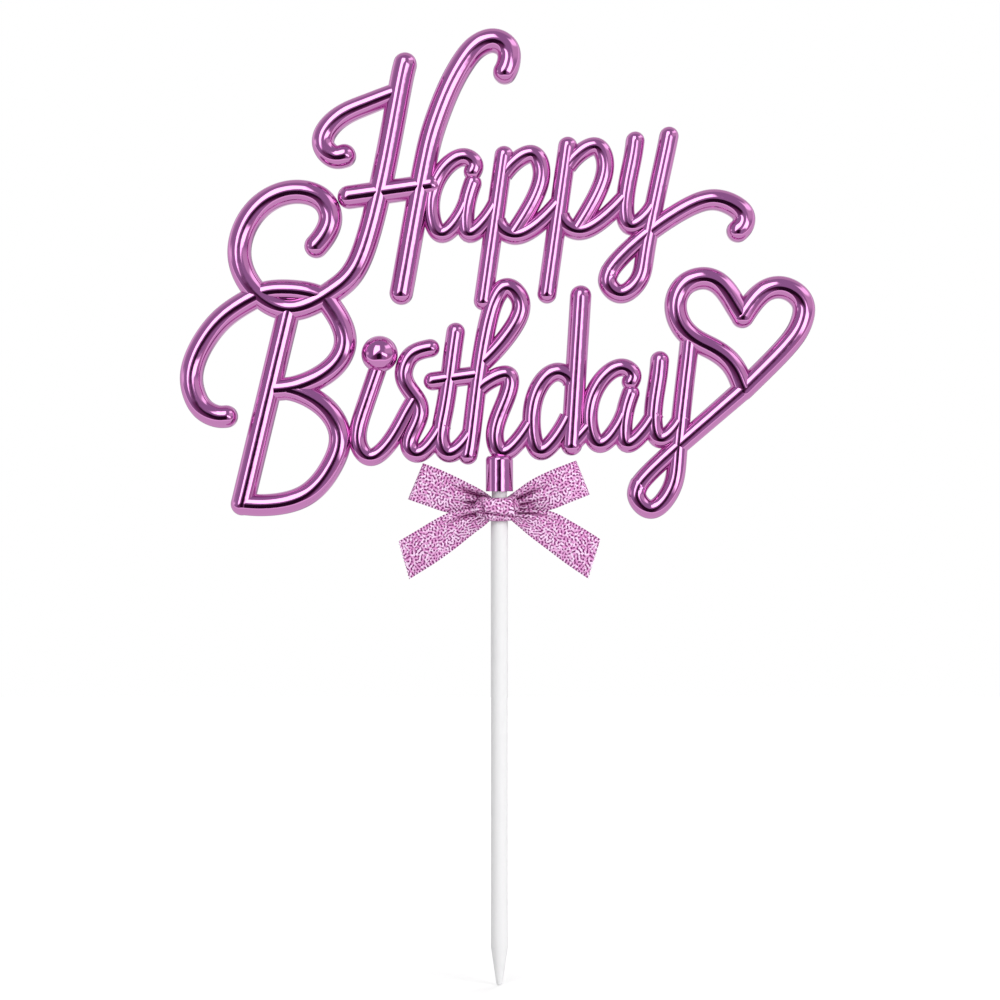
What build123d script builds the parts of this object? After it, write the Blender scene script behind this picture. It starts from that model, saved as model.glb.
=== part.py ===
"""Cake topper: a plated script sign with a heart, on a round stick, with a ribbon bow tied under it.

Millimetres, +Z up, the sign's front towards -Y. The origin is on the stick's axis, at the cake's top.
"""

import os
from math import radians, tan

from build123d import *

# Sign: rods with a half-round front, straight sides and a flat back.
X_HEIGHT = 18.0  # a small letter, from centre line to centre line
CAPITAL_STROKE = 5.5  # width of the rod in the two capitals
HEART_STROKE = 5.3  # width of the rod in the heart
TALL_STROKE = 4.9  # width of the rod in the d's tall stem
SMALL_STROKE = 4.5  # width of the rod in the other small letters
SIDE_DEPTH = 1.75  # straight side of a rod, behind its round front
BACK_REACH = 2.0  # from the stick's axis to the flat back
BRANCH_EASE = 0.05  # a rod that runs into another is this much slimmer each side, per level
DOT_DIAMETER = 8.6

# Socket under the sign, and the stick that it is pushed onto.
SOCKET_DIAMETER = 6.4
SOCKET_HEIGHT = 8.3
SOCKET_SHOULDER = 0.9  # round at the socket's closed end
SOCKET_LIP = 0.25  # lead-in at the mouth
SOCKET_DEPTH = 6.4
SIGN_RISE = 0.8  # from the socket's closed end to the lower word's base line
STICK_DIAMETER = 4.0
STICK_LENGTH = 122.0
TIP_LENGTH = 8.8
TIP_DIAMETER = 1.4
TIP_ROUND = 0.35
SPIGOT_EASE = 0.2  # the stick is this much slimmer, in radius, from the knot up into the socket
SOCKET_FIT = 0.05  # radial play of the spigot in the socket
STICK_CHAMFER = 0.4
INSERT_DEPTH = 60.0  # how far the stick stands in the cake

# Bow: one flat ribbon, knotted round the stick, with two folded loops and two cut tails.
RIBBON_WIDTH = 9.0
RIBBON_THICKNESS = 0.4
BOW_DROP = 1.2  # from the socket's mouth to the top of the knot
KNOT_WIDTH = 9.6
KNOT_HEIGHT = 5.7
KNOT_DEPTH = 7.4
KNOT_ROUND = 1.5
KNOT_FIT = 0.05  # radial play of the knot on the stick
LOOP_REACH = 21.2  # from the stick's axis to the fold
LOOP_FOLD = 1.9  # thickness of a loop at its fold
LOOP_BULGE = 0.8  # how far each layer stands out between knot and fold
LOOP_SETBACK = 0.7  # the loops lie this far behind the stick's axis
TAIL_REACH = 24.7  # from the stick's axis to the upper corner of the cut
TAIL_SLANT = 1.7  # how much further the lower corner reaches
TAIL_FRONT = 2.1  # the tails lie this far before the stick's axis
TAIL_WAVE = 0.5
LEFT_LOOP_ANGLE = 162.0
RIGHT_LOOP_ANGLE = 20.0
LEFT_TAIL_ANGLE = 210.5
RIGHT_TAIL_ANGLE = 328.5

# Places and strokes of the letters, in x-heights, read from the photograph. Each letter is drawn
# from its own foot, as the corners of a polygon whose bends are rounded as far as its runs allow.
CAPITAL_H_SHARES = (-1.62, 2.87)
UPPER_A_SHARES = (-0.73, 2.85)
FIRST_P_SHARES = (-0.02, 2.85)
SECOND_P_SHARES = (0.81, 2.94)
UPPER_Y_SHARES = (1.7, 2.98)
CAPITAL_B_SHARES = (-3.14, 0)
LETTER_I_SHARES = (-1.71, 0)
DOT_SHARES = (-1.56, 1.28)
LETTER_R_SHARES = (-1.1, 0)
LETTER_T_SHARES = (-0.7, 0)
LETTER_H_SHARES = (-0.36, 0)
LETTER_D_SHARES = (0.53, 0.03)
LOWER_A_SHARES = (1.33, 0.11)
LOWER_Y_SHARES = (2.09, 0.18)
HEART_SHARES = (3.17, 0.81)
RUN_SHARE = 0.96  # share of a straight run that its two bends may use

H_LEFT_SHARES = [
    (0.39, 2.19), (-0.22, -0.51), (-0.85, -1), (-1.3, -1), (-1.77, -0.59), (-1.77, -0.02),
    (-1.5, 0.38), (-1.16, 0.53), (-0.79, 0.53), (-0.57, 0.3), (-0.6, 0.03), (-0.77, -0.18),
]
H_SWASH_SHARES = [(0.31, 1.85), (0.02, 1.74), (-0.3, 1.6), (-0.68, 1.37), (-0.68, 0.98), (-0.4, 1)]
H_RIGHT_SHARES = [
    (1.69, 2.09), (1.76, 2.24), (1.71, 2.5), (1.42, 2.5), (1.25, 2.36), (1.07, 2.11), (0.87, 1.68),
    (0.7, 1.17), (0.34, -0.79),
]
H_BAR_SHARES = [(-0.34, 0.46), (0.65, 0.6)]
H_ARCH_SHARES = [(-1.55, -0.82), (-1.1, -0.67), (-0.65, -0.87)]
A_BOWL_SHARES = [
    (0.38, 0.81), (0.43, 1), (0.11, 1), (-0.16, 0.6), (-0.16, 0), (0.11, 0), (0.31, 0.43),
]
A_STEM_SHARES = [(0.38, 0.66), (0.21, 0), (0.46, 0.01), (0.69, 0.42)]
P_STEM_SHARES = [(0.08, 1.02), (-0.19, -0.87)]
P_BOWL_SHARES = [(0.08, 0.78), (0.3, 1.04), (0.59, 1.04), (0.55, 0.55), (0.2, 0)]
P_LINK_SHARES = [(-0.01, 0.17), (0.08, -0.01), (0.39, -0.03), (0.81, 0.42)]
Y_CUP_SHARES = [(0.07, 1.08), (-0.1, 0), (0.14, 0.01), (0.3, 0.31)]
Y_STEM_SHARES = [(0.51, 1.14), (0.16, -0.57), (0.06, -0.91), (-0.31, -0.91), (-0.26, -0.62)]
Y_SWASH_SHARES = [
    (-0.27, -0.69), (-0.25, -0.56), (0.26, -0.07), (0.8, 0.27), (1.02, 0.34), (1.24, 0.33), (1.45, 0.2),
    (1.53, 0.04), (1.41, -0.09),
]
B_STEM_SHARES = [(0.4, 1.88), (-0.21, -0.67)]
B_UPPER_SHARES = [(0.85, 2.03), (1.13, 1.65), (1.13, 1.31), (0.79, 0.9), (0.21, 0.82)]
B_LOWER_SHARES = [
    (0.21, 0.82), (0.62, 0.82), (1.06, 0.4), (1.06, 0.05), (0.82, -0.44), (0.36, -0.7), (-0.21, -0.67),
]
B_FLOURISH_SHARES = [
    (-0.42, 0.47), (-0.63, 0.47), (-0.8, 0.65), (-0.88, 0.88), (-0.87, 1.12), (-0.74, 1.42),
    (-0.54, 1.69), (-0.3, 1.89), (0, 2.05),
]
I_SHARES = [(0.14, 1.14), (-0.14, 0.32), (-0.12, -0.06), (0.17, -0.06), (0.62, 0.71)]
R_SHARES = [
    (0.19, 1.37), (-0.13, 1.37), (-0.15, 1.02), (0.07, 0.7), (0.06, 0.5), (-0.08, 0.16),
    (-0.09, -0.02), (0.15, -0.01), (0.36, 0.37),
]
T_STEM_SHARES = [(0.13, 1.57), (-0.05, 0.33), (-0.08, -0.01), (0.16, -0.01), (0.32, 0.34)]
T_BAR_SHARES = [(-0.17, 0.93), (0.45, 1.02)]
LETTER_H_STEM_SHARES = [(-0.05, -0.03), (0.31, 2.15), (0.65, 2.15), (0.61, 1.74)]
LETTER_H_LOOP_SHARES = [(0.62, 1.81), (0.61, 1.7), (0.15, 1.18)]
LETTER_H_ARCH_SHARES = [
    (0.1, 0.84), (0.33, 1.02), (0.61, 1), (0.31, 0.49), (0.29, 0), (0.51, 0), (0.76, 0.37),
]
D_STEM_SHARES = [(0.53, 2.01), (0.41, 0.07)]
D_BOWL_SHARES = [
    (0.42, 0.86), (0.36, 1.02), (0.09, 1.02), (-0.11, 0.64), (-0.11, -0.01), (0.12, -0.01), (0.37, 0.43),
]
D_HOOK_SHARES = [(0.42, 0.07), (0.65, 0.33)]
LOWER_Y_CUP_SHARES = [(0, 1.02), (-0.11, -0.01), (0.13, 0), (0.29, 0.29)]
LOWER_Y_STEM_SHARES = [(0.39, 1.28), (0.21, -0.38), (0.09, -0.92), (-0.32, -0.92), (-0.27, -0.6)]
LOWER_Y_TAIL_SHARES = [(-0.28, -0.67), (-0.26, -0.55), (0.28, -0.06), (1.12, 0.67)]
HEART_RIGHT_SHARES = [
    (0, 0), (0.56, 0.55), (0.74, 0.8), (0.81, 1.02), (0.78, 1.19), (0.6, 1.34), (0.36, 1.35),
    (0.16, 1.2), (0, 0.96),
]
HEART_LEFT_SHARES = [
    (0, 0.96), (-0.19, 1.27), (-0.35, 1.45), (-0.63, 1.475), (-0.86, 1.29), (-0.88, 0.99), (-0.73, 0.72),
    (-0.5, 0.6), (-0.27, 0.475), (-0.1, 0.31), (-0.03, 0.13), (0.02, 0.02),
]

# Outlines of the ribbon's pieces: share of the reach along, share of the ribbon's width across.
LOOP_OUTLINE_SHARES = [(0.1, -0.2), (0.5, -0.5), (1.2, -0.5), (1.2, 0.5), (0.85, 0.5), (0.1, 0.2)]
TAIL_OUTLINE_SHARES = [(0.1, -0.06), (0.1, 0.26), (0.38, 0.51), (1, 0.49)]
LOOP_START_SHARE = 0.15
TAIL_START_SHARE = 0.12
TAIL_FALL_SHARE = 0.6  # how much of the tails' distance before the axis is left at their ends

FRONT = Vector(0, -1, 0)
tip_z = -INSERT_DEPTH
stick_top_z = tip_z + STICK_LENGTH
mouth_z = stick_top_z - SOCKET_DEPTH
base_z = mouth_z + SOCKET_HEIGHT + SIGN_RISE
knot_top_z = mouth_z - BOW_DROP
knot_bottom_z = knot_top_z - KNOT_HEIGHT
knot_z = (knot_top_z + knot_bottom_z) / 2
stick_radius = STICK_DIAMETER / 2
spigot_radius = stick_radius - SPIGOT_EASE
shoulder = SIDE_DEPTH - BACK_REACH


def spine(foot, shares):
    """A stroke's centre line: straight runs joined by tangent arcs, in the sign's plane."""
    corners = []
    for along, up in shares:
        corners.append(((foot[0] + along) * X_HEIGHT, base_z + (foot[1] + up) * X_HEIGHT))
    runs = [Vector(after) - Vector(before) for before, after in zip(corners, corners[1:])]
    turns = [tan(radians(a.get_angle(b)) / 2) for a, b in zip(runs, runs[1:])]
    with BuildLine(Plane.XZ) as line:
        if turns:
            ends = [0, *turns, 0]
            room = [RUN_SHARE * run.length / (a + b) for run, a, b in zip(runs, ends, ends[1:])]
            FilletPolyline(*corners, radius=[min(pair) for pair in zip(room, room[1:])])
        else:
            Line(*corners)
    return line.wires()[0]


def dome(end, outward, half):
    """Rounds off a rod's end: its half section turned half round."""
    with BuildSketch(Plane(origin=end, x_dir=FRONT, z_dir=outward)) as profile:
        with BuildLine():
            Polyline((shoulder + half, 0), (-BACK_REACH, 0), (-BACK_REACH, half), (shoulder, half))
            CenterArc((shoulder, 0), half, 0, 90)
        make_face()
    revolve(profile.sketch, axis=Axis(end, FRONT), revolution_arc=180)


def stroke(foot, shares, width, level, first_domed=False, last_domed=False):
    """Adds one rod of the sign to the part being built."""
    half = width / 2 - BRANCH_EASE * level
    path = spine(foot, shares)
    with BuildSketch(Plane(origin=path @ 0, x_dir=FRONT, z_dir=path % 0)) as section:
        with BuildLine():
            Polyline((shoulder, -half), (-BACK_REACH, -half), (-BACK_REACH, half), (shoulder, half))
            ThreePointArc((shoulder, half), (shoulder + half, 0), (shoulder, -half))
        make_face()
    sweep(section.sketch, path=path)
    if first_domed:
        dome(path @ 0, -(path % 0), half)
    if last_domed:
        dome(path @ 1, path % 1, half)


def small_a(foot):
    stroke(foot, A_STEM_SHARES, SMALL_STROKE, 2, first_domed=True)
    stroke(foot, A_BOWL_SHARES, SMALL_STROKE, 3, first_domed=True)


def small_p(foot):
    stroke(foot, P_STEM_SHARES, SMALL_STROKE, 0, first_domed=True, last_domed=True)
    stroke(foot, P_LINK_SHARES, SMALL_STROKE, 2)
    stroke(foot, P_BOWL_SHARES, SMALL_STROKE, 3)


def ribbon_plane(angle):
    """A plane in the ribbon's face: x away from the knot, z towards the front."""
    away = Vector(1, 0, 0).rotate(Axis.Y, -angle)
    return Plane(origin=(0, 0, knot_z), x_dir=away, z_dir=FRONT)


def upper_side(plane):
    """1 where the plane's own y points up, else -1."""
    return 1 if plane.y_dir.Z > 0 else -1


def loop_profile(plane, inset):
    """A loop seen edge-on: two bulging layers and the fold, drawn in by the ribbon's thickness."""
    half = LOOP_FOLD / 2 - inset
    start, fold = LOOP_REACH * LOOP_START_SHARE, LOOP_REACH - LOOP_FOLD / 2
    middle, bulge = (start + fold) / 2, half + LOOP_BULGE
    with BuildSketch(Plane(plane.origin - FRONT * LOOP_SETBACK, plane.x_dir, plane.y_dir)) as profile:
        with BuildLine():
            ThreePointArc((start, -half), (middle, -bulge), (fold, -half))
            ThreePointArc((fold, -half), (fold + half, 0), (fold, half))
            ThreePointArc((fold, half), (middle, bulge), (start, half))
            Line((start, half), (start, -half))
        make_face()
    return profile.sketch


def bow_loop(angle):
    """Adds a folded loop, drawn in towards the knot."""
    plane = ribbon_plane(angle)
    side = upper_side(plane)
    extrude(loop_profile(plane, 0), RIBBON_WIDTH, both=True)
    extrude(loop_profile(plane, RIBBON_THICKNESS), RIBBON_WIDTH, both=True, mode=Mode.SUBTRACT)
    with BuildSketch(plane) as outline:
        with BuildLine():
            Polyline(
                [(u * LOOP_REACH, v * side * RIBBON_WIDTH) for u, v in LOOP_OUTLINE_SHARES], close=True
            )
        make_face()
    extrude(outline.sketch, LOOP_REACH, both=True, mode=Mode.INTERSECT)


def bow_tail(angle):
    """Adds a tail: a waved strip, drawn in towards the knot and cut on the slant."""
    plane = ribbon_plane(angle)
    side = upper_side(plane)
    start, end = TAIL_REACH * TAIL_START_SHARE, TAIL_REACH + TAIL_SLANT
    near, far = TAIL_FRONT, TAIL_FRONT * TAIL_FALL_SHARE
    step, drop = (end - start) / 4, (far - near) / 4
    back = RIBBON_THICKNESS
    with BuildSketch(Plane(plane.origin, plane.x_dir, -plane.y_dir)) as profile:
        with BuildLine():
            for face in (near, near - back):
                points = [(start + step * n, face + drop * n) for n in range(5)]
                ThreePointArc(points[0], (points[1][0], points[1][1] + TAIL_WAVE), points[2])
                ThreePointArc(points[2], (points[3][0], points[3][1] - TAIL_WAVE), points[4])
            Line((start, near), (start, near - back))
            Line((end, far), (end, far - back))
        make_face()
    extrude(profile.sketch, RIBBON_WIDTH, both=True)
    corners = [(u * TAIL_REACH, v * side * RIBBON_WIDTH) for u, v in TAIL_OUTLINE_SHARES]
    corners.append((TAIL_REACH + TAIL_SLANT, -corners[-1][1]))
    with BuildSketch(plane) as outline:
        with BuildLine():
            Polyline(corners, close=True)
        make_face()
    extrude(outline.sketch, TAIL_REACH, both=True, mode=Mode.INTERSECT)


# Upper word, from the capital that carries it.
with BuildPart() as capital_h:
    stroke(CAPITAL_H_SHARES, H_LEFT_SHARES, CAPITAL_STROKE, 0, first_domed=True, last_domed=True)
    stroke(CAPITAL_H_SHARES, H_RIGHT_SHARES, CAPITAL_STROKE, 0, first_domed=True, last_domed=True)
    stroke(CAPITAL_H_SHARES, H_SWASH_SHARES, CAPITAL_STROKE, 1, last_domed=True)
    stroke(CAPITAL_H_SHARES, H_BAR_SHARES, CAPITAL_STROKE, 1, first_domed=True, last_domed=True)
    stroke(CAPITAL_H_SHARES, H_ARCH_SHARES, CAPITAL_STROKE, 1)

with BuildPart() as upper_y:
    stroke(UPPER_Y_SHARES, Y_STEM_SHARES, SMALL_STROKE, 0, first_domed=True, last_domed=True)
    stroke(UPPER_Y_SHARES, Y_CUP_SHARES, SMALL_STROKE, 1, first_domed=True)
    stroke(UPPER_Y_SHARES, Y_SWASH_SHARES, SMALL_STROKE, 1, last_domed=True)

with BuildPart() as second_p:
    small_p(SECOND_P_SHARES)
    add(upper_y.part, mode=Mode.SUBTRACT)

# Lower word, from the heart back to the i. Each letter is trimmed where it runs into the next.
with BuildPart() as heart:
    stroke(HEART_SHARES, HEART_RIGHT_SHARES, HEART_STROKE, 0, first_domed=True, last_domed=True)
    stroke(HEART_SHARES, HEART_LEFT_SHARES, HEART_STROKE, 1)

with BuildPart() as lower_y:
    stroke(LOWER_Y_SHARES, LOWER_Y_STEM_SHARES, SMALL_STROKE, 0, last_domed=True)
    stroke(LOWER_Y_SHARES, LOWER_Y_CUP_SHARES, SMALL_STROKE, 1, first_domed=True)
    stroke(LOWER_Y_SHARES, LOWER_Y_TAIL_SHARES, SMALL_STROKE, 1)
    add(heart.part, mode=Mode.SUBTRACT)

with BuildPart() as lower_a:
    small_a(LOWER_A_SHARES)
    add(lower_y.part, mode=Mode.SUBTRACT)

with BuildPart() as letter_d:
    stroke(LETTER_D_SHARES, D_STEM_SHARES, TALL_STROKE, 0, first_domed=True, last_domed=True)
    stroke(LETTER_D_SHARES, D_BOWL_SHARES, SMALL_STROKE, 1)
    stroke(LETTER_D_SHARES, D_HOOK_SHARES, SMALL_STROKE, 4)
    add(lower_a.part, mode=Mode.SUBTRACT)

with BuildPart() as letter_h:
    stroke(LETTER_H_SHARES, LETTER_H_STEM_SHARES, SMALL_STROKE, 0, first_domed=True, last_domed=True)
    stroke(LETTER_H_SHARES, LETTER_H_LOOP_SHARES, SMALL_STROKE, 1)
    stroke(LETTER_H_SHARES, LETTER_H_ARCH_SHARES, SMALL_STROKE, 2)
    add(letter_d.part, mode=Mode.SUBTRACT)

with BuildPart() as letter_t:
    stroke(LETTER_T_SHARES, T_STEM_SHARES, SMALL_STROKE, 1, first_domed=True)
    stroke(LETTER_T_SHARES, T_BAR_SHARES, SMALL_STROKE, 2, first_domed=True)
    add(letter_h.part, mode=Mode.SUBTRACT)

with BuildPart() as i_dot:
    dot_x, dot_z = DOT_SHARES[0] * X_HEIGHT, base_z + DOT_SHARES[1] * X_HEIGHT
    with Locations((dot_x, 0, dot_z)):
        Sphere(DOT_DIAMETER / 2)
    split(bisect_by=Plane.XZ.offset(-BACK_REACH), keep=Keep.TOP)

with BuildPart() as letter_r:
    stroke(LETTER_R_SHARES, R_SHARES, SMALL_STROKE, 2, first_domed=True)
    add(letter_t.part, mode=Mode.SUBTRACT)
    add(i_dot.part, mode=Mode.SUBTRACT)

with BuildPart() as capital_b:
    stroke(CAPITAL_B_SHARES, B_STEM_SHARES, CAPITAL_STROKE, 1, last_domed=True)
    stroke(CAPITAL_B_SHARES, B_UPPER_SHARES, CAPITAL_STROKE, 2)
    stroke(CAPITAL_B_SHARES, B_LOWER_SHARES, CAPITAL_STROKE, 3)
    add(capital_h.part, mode=Mode.SUBTRACT)

with BuildPart() as b_flourish:
    stroke(CAPITAL_B_SHARES, B_FLOURISH_SHARES, CAPITAL_STROKE, 2, first_domed=True)
    add(capital_h.part, mode=Mode.SUBTRACT)

with BuildPart() as letter_i:
    stroke(LETTER_I_SHARES, I_SHARES, SMALL_STROKE, 3)
    add(letter_r.part, mode=Mode.SUBTRACT)
    add(i_dot.part, mode=Mode.SUBTRACT)
    add(capital_b.part, mode=Mode.SUBTRACT)

with BuildPart() as first_p:
    small_p(FIRST_P_SHARES)
    add(second_p.part, mode=Mode.SUBTRACT)
    add(letter_h.part, mode=Mode.SUBTRACT)

with BuildPart() as upper_a:
    small_a(UPPER_A_SHARES)
    add(first_p.part, mode=Mode.SUBTRACT)
    add(capital_h.part, mode=Mode.SUBTRACT)

# Socket: a blind tube, round at its closed end, let into the letter above it.
with BuildPart() as stick_socket:
    with BuildSketch(Plane.XY.offset(mouth_z)):
        Circle(SOCKET_DIAMETER / 2)
    extrude(amount=SOCKET_HEIGHT)
    fillet(stick_socket.edges().sort_by(Axis.Z)[-1], SOCKET_SHOULDER)
    with BuildSketch(Plane.XY.offset(mouth_z)):
        Circle(spigot_radius + SOCKET_FIT)
    extrude(amount=SOCKET_DEPTH, mode=Mode.SUBTRACT)
    mouth = stick_socket.faces().filter_by(Axis.Z).sort_by(Axis.Z)[0]
    chamfer(mouth.inner_wires()[0].edges(), SOCKET_LIP)
    add(letter_h.part, mode=Mode.SUBTRACT)

# Stick: a pointed shank, eased from the knot up to the end that enters the socket.
with BuildPart() as stick:
    with BuildSketch(Plane.XZ):
        with BuildLine():
            Polyline(
                (0, tip_z),
                (TIP_DIAMETER / 2, tip_z),
                (stick_radius, tip_z + TIP_LENGTH),
                (stick_radius, knot_bottom_z),
                (spigot_radius, knot_bottom_z),
                (spigot_radius, stick_top_z - STICK_CHAMFER),
                (spigot_radius - STICK_CHAMFER, stick_top_z),
                (0, stick_top_z),
                close=True,
            )
        make_face()
    revolve(axis=Axis.Z)
    fillet(stick.edges().sort_by(Axis.Z)[0], TIP_ROUND)

# Bow: the knot round the stick first, then what comes out of it on each side.
with BuildPart() as bow_knot:
    with BuildSketch(Plane.XY.offset(knot_bottom_z)):
        SlotOverall(KNOT_WIDTH, KNOT_DEPTH)
    extrude(amount=KNOT_HEIGHT)
    fillet(bow_knot.edges(), KNOT_ROUND)
    with BuildSketch(Plane.XY.offset(knot_bottom_z)):
        Circle(stick_radius + KNOT_FIT)
    extrude(amount=KNOT_HEIGHT, mode=Mode.SUBTRACT)

with BuildPart() as bow_loop_left:
    bow_loop(LEFT_LOOP_ANGLE)
    add(bow_knot.part, mode=Mode.SUBTRACT)

with BuildPart() as bow_loop_right:
    bow_loop(RIGHT_LOOP_ANGLE)
    add(bow_knot.part, mode=Mode.SUBTRACT)

with BuildPart() as bow_tail_left:
    bow_tail(LEFT_TAIL_ANGLE)
    add(bow_knot.part, mode=Mode.SUBTRACT)

with BuildPart() as bow_tail_right:
    bow_tail(RIGHT_TAIL_ANGLE)
    add(bow_knot.part, mode=Mode.SUBTRACT)

pieces = {
    "capital_h": capital_h,
    "upper_a": upper_a,
    "first_p": first_p,
    "second_p": second_p,
    "upper_y": upper_y,
    "capital_b": capital_b,
    "b_flourish": b_flourish,
    "letter_i": letter_i,
    "i_dot": i_dot,
    "letter_r": letter_r,
    "letter_t": letter_t,
    "letter_h": letter_h,
    "letter_d": letter_d,
    "lower_a": lower_a,
    "lower_y": lower_y,
    "heart": heart,
    "stick_socket": stick_socket,
    "stick": stick,
    "bow_knot": bow_knot,
    "bow_loop_left": bow_loop_left,
    "bow_loop_right": bow_loop_right,
    "bow_tail_left": bow_tail_left,
    "bow_tail_right": bow_tail_right,
}
os.makedirs("parts", exist_ok=True)
for name, piece in pieces.items():
    piece.part.label = name
    export_step(piece.part, f"parts/{name}.step")
    print(name, len(piece.part.solids()), round(piece.part.volume, 1))
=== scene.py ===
import math

import bpy
import numpy as np
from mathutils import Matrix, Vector


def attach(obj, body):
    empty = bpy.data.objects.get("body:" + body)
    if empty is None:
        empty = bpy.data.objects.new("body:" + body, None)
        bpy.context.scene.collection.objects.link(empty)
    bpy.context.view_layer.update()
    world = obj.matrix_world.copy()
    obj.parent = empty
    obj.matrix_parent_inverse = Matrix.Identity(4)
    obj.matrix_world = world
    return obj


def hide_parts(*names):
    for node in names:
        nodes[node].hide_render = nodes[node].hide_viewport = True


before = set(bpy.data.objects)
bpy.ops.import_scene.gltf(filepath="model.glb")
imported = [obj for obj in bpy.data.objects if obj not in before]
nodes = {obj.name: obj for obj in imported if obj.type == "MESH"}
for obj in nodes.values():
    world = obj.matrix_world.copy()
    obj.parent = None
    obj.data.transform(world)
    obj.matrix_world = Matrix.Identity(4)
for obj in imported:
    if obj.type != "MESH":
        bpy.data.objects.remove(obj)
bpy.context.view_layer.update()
scene = bpy.context.scene
scene.view_settings.view_transform = "Standard"
millimetres = 1000  # in a metre
white, black = (1, 1, 1), (0, 0, 0)
print("frame: loaded", len(nodes), "nodes")


# one output socket of a node tree: arithmetic on it adds Math nodes, add() puts in any other node
class Wire:
    def __init__(self, tree, socket=None):
        self.tree, self.socket = tree, socket

    def add(self, kind, settings=None, inputs=None, out=0):
        node = self.tree.nodes.new(kind)
        for name, value in (settings or {}).items():
            setattr(node, name, value)
        for name, value in (inputs or {}).items():
            if isinstance(value, Wire):
                self.tree.links.new(value.socket, node.inputs[name])
            else:
                node.inputs[name].default_value = value
        return Wire(self.tree, node.outputs[out])

    def math(self, operation, *values):
        return self.add("ShaderNodeMath", {"operation": operation}, dict(enumerate(values)))

    def __add__(self, other): return self.math("ADD", self, other)
    def __radd__(self, other): return self.math("ADD", other, self)
    def __sub__(self, other): return self.math("SUBTRACT", self, other)
    def __rsub__(self, other): return self.math("SUBTRACT", other, self)
    def __mul__(self, other): return self.math("MULTIPLY", self, other)
    def __rmul__(self, other): return self.math("MULTIPLY", other, self)
    def __neg__(self): return self.math("MULTIPLY", self, -1)
    def __abs__(self): return self.math("ABSOLUTE", self)

    def most(self, other): return self.math("MAXIMUM", self, other)
    def least(self, other): return self.math("MINIMUM", self, other)
    def sine(self): return self.math("SINE", self)

    # smooth rise from 0 at low to 1 at high, or a fall where low is the larger
    def rise(self, low, high):
        if low > high:
            return 1 - self.rise(high, low)
        settings = {"interpolation_type": "SMOOTHSTEP"}
        return self.add("ShaderNodeMapRange", settings, {0: self, 1: low, 2: high})

    # from the first colour at 0 to the second at 1, each a link or its red, green and blue
    def mixColour(self, first, second, blend="MIX", share=None):
        first, second = (c if isinstance(c, Wire) else (*c, 1) for c in (first, second))
        inputs = {0: self if share is None else share, 6: first, 7: second}
        return self.add("ShaderNodeMix", {"data_type": "RGBA", "blend_type": blend}, inputs, out=2)

    def split(self, kind="ShaderNodeSeparateXYZ"):
        node = self.add(kind, inputs={0: self}).socket.node
        return [Wire(self.tree, output) for output in node.outputs]

    def into(self, node, socket):
        self.tree.links.new(self.socket, node.inputs[socket])


# a new material's tree and shader, with the shader's fixed values set on their own sockets
def newMaterial(name, fixed):
    material = bpy.data.materials.new(name)
    material.use_nodes = True
    tree = material.node_tree
    shader = tree.nodes["Principled BSDF"]
    for socket, value in fixed.items():
        shader.inputs[socket].default_value = value
    return material, Wire(tree), shader


def dress(piece, material):
    piece.data.materials.clear()
    piece.data.materials.append(material)


# the four corners of each face of a grid, in order round the face
def faceCorners(grid):
    return np.stack([grid[:-1, :-1], grid[1:, :-1], grid[1:, 1:], grid[:-1, 1:]], axis=2)


# a smooth-shaded object at the origin, with its place in its mesh
def newPiece(name, points, faces):
    mesh = bpy.data.meshes.new(name)
    mesh.from_pydata(points.reshape(-1, 3), [], faces)
    mesh.polygons.foreach_set("use_smooth", np.ones(len(mesh.polygons), dtype=bool))
    mesh.update()
    piece = bpy.data.objects.new(name, mesh)
    scene.collection.objects.link(piece)
    return piece


# bell curve: 1 in its middle, 1/e at its half width
def bell(distance, half):
    return np.exp(-((distance / half) ** 2))


# camera, level with the middle of the picture, which is width across at the sign, in metres
cameraPlan = {
    "middle": (0.00014, 0.0, 0.05357),
    "distance": 0.62,
    "width": 0.2344,
    "sensor": 36,  # millimetres
    "near": 0.01,
}
cameraData = bpy.data.cameras.new("camera")
camera = bpy.data.objects.new("camera", cameraData)
scene.collection.objects.link(camera)
camera.location = Vector(cameraPlan["middle"]) + Vector((0, -cameraPlan["distance"], 0))
camera.rotation_euler = (math.pi / 2, 0, 0)
cameraData.sensor_width = cameraPlan["sensor"]
cameraData.lens = cameraPlan["sensor"] * cameraPlan["distance"] / cameraPlan["width"]
cameraData.clip_start = cameraPlan["near"]
scene.camera = camera
print("camera: set")

# softboxes, a metre from the sign: az to the right of the camera, el up, in degrees; sizes in metres
softboxes = {
    "key": {"az": -20, "el": 34, "size": (0.5, 0.5), "glow": 2.7},
    "right": {"az": 42, "el": 12, "size": (0.5, 0.5), "glow": 6.7},
    "left": {"az": -70, "el": 5, "size": (0.3, 0.4), "glow": 0.6},
    "above": {"az": 150, "el": 50, "size": (0.6, 0.5), "glow": 2.4},
}
signMiddle = Vector((0, 0, 0.095))
for name, plan in softboxes.items():
    lampAz, lampEl = math.radians(plan["az"]), math.radians(plan["el"])
    flat = math.cos(lampEl)
    toLamp = Vector((math.sin(lampAz) * flat, -math.cos(lampAz) * flat, math.sin(lampEl)))
    data = bpy.data.lights.new(name, "AREA")
    data.shape = "RECTANGLE"
    data.size, data.size_y = plan["size"]
    data.energy = plan["glow"] * math.pi * data.size * data.size_y  # a glow of 1 is white paper
    lamp = bpy.data.objects.new(name, data)
    lamp.location = signMiddle + toLamp
    lamp.rotation_euler = toLamp.to_track_quat("Z", "Y").to_euler()
    lamp.visible_glossy = False  # metal sees the soft-edged panels of the studio instead
    scene.collection.objects.link(lamp)

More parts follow.
